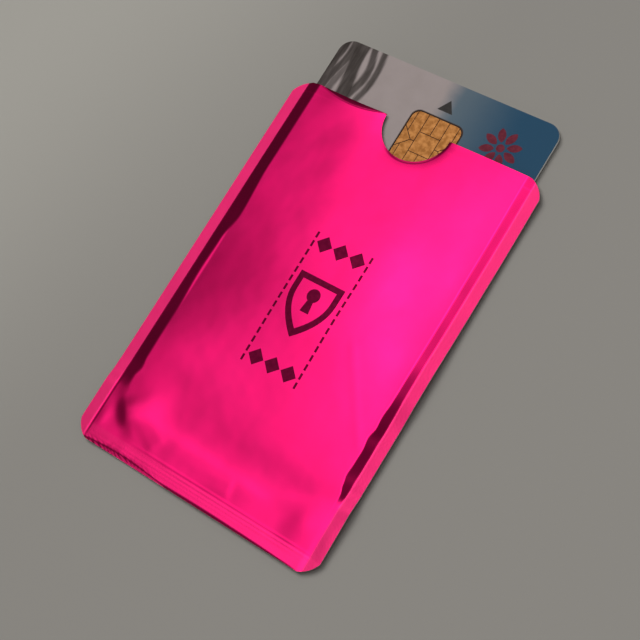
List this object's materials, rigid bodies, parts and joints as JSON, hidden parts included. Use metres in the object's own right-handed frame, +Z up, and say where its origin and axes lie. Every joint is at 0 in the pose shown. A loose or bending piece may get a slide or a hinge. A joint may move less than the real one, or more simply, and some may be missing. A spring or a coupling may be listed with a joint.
{
  "type": "card sleeve",
  "caption": "Flat foil-lined card sleeve, heat sealed on three sides with a thumb notch at its open mouth, holding a smart card that slides in and out.",
  "frame": {"origin": "centre of the sleeve's underside", "axes": "+X across the sleeve to the picture's right, +Y along the sleeve to its open mouth, +Z up out of the printed front"},
  "size_m": [0.0616, 0.1024, 0.002],
  "materials": {
    "coloured_film": "mirror-bright magenta film, metallised",
    "shield_foil": "bright rolled foil",
    "liner": "satin heat-seal film, silvery",
    "weld": "melted and pressed film",
    "sleeve_ink": "dark maroon ink, satin",
    "card_overlay": "smooth satin laminate over a printed panel",
    "card_core": "plain white sheet",
    "inlay_sheet": "plain sheet",
    "antenna_metal": "etched metal",
    "contact_gold": "worn gold plate",
    "carrier_epoxy": "dark epoxy glass",
    "silicon": "polished silicon",
    "resin": "smooth cast resin",
    "conductive_glue": "grey paste",
    "arrow_ink": "dark grey ink",
    "rosette_ink": "dark red ink",
    "stripe_coating": "smooth dark coating",
    "signature_coating": "matt writable coating"
  },
  "bodies": {
    "sleeve": {"front_film": "coloured_film", "front_foil": "shield_foil", "front_liner": "liner", "back_film": "coloured_film", "back_foil": "shield_foil", "back_liner": "liner", "left_seal": "weld", "right_seal": "weld", "bottom_seal": "weld", "shield_print": "sleeve_ink", "dash_print": "sleeve_ink"},
    "card": {"card_front_overlay": "card_overlay", "card_front_core": "card_core", "antenna_inlay": "inlay_sheet", "antenna_coil": "antenna_metal", "antenna_bridge": "antenna_metal", "card_back_core": "card_core", "card_back_overlay": "card_overlay", "contact_pads": "contact_gold", "chip_carrier": "carrier_epoxy", "chip_die": "silicon", "chip_resin": "resin", "antenna_posts": "conductive_glue", "insert_arrow": "arrow_ink", "rosette_print": "rosette_ink", "magnetic_stripe": "stripe_coating", "signature_panel": "signature_coating"}
  },
  "joints": [
    {"name": "card_slide", "type": "slide", "parent": "sleeve", "child": "card", "axis": [0, 1, 0], "range_m": [-0.0126, 0.074]}
  ]
}
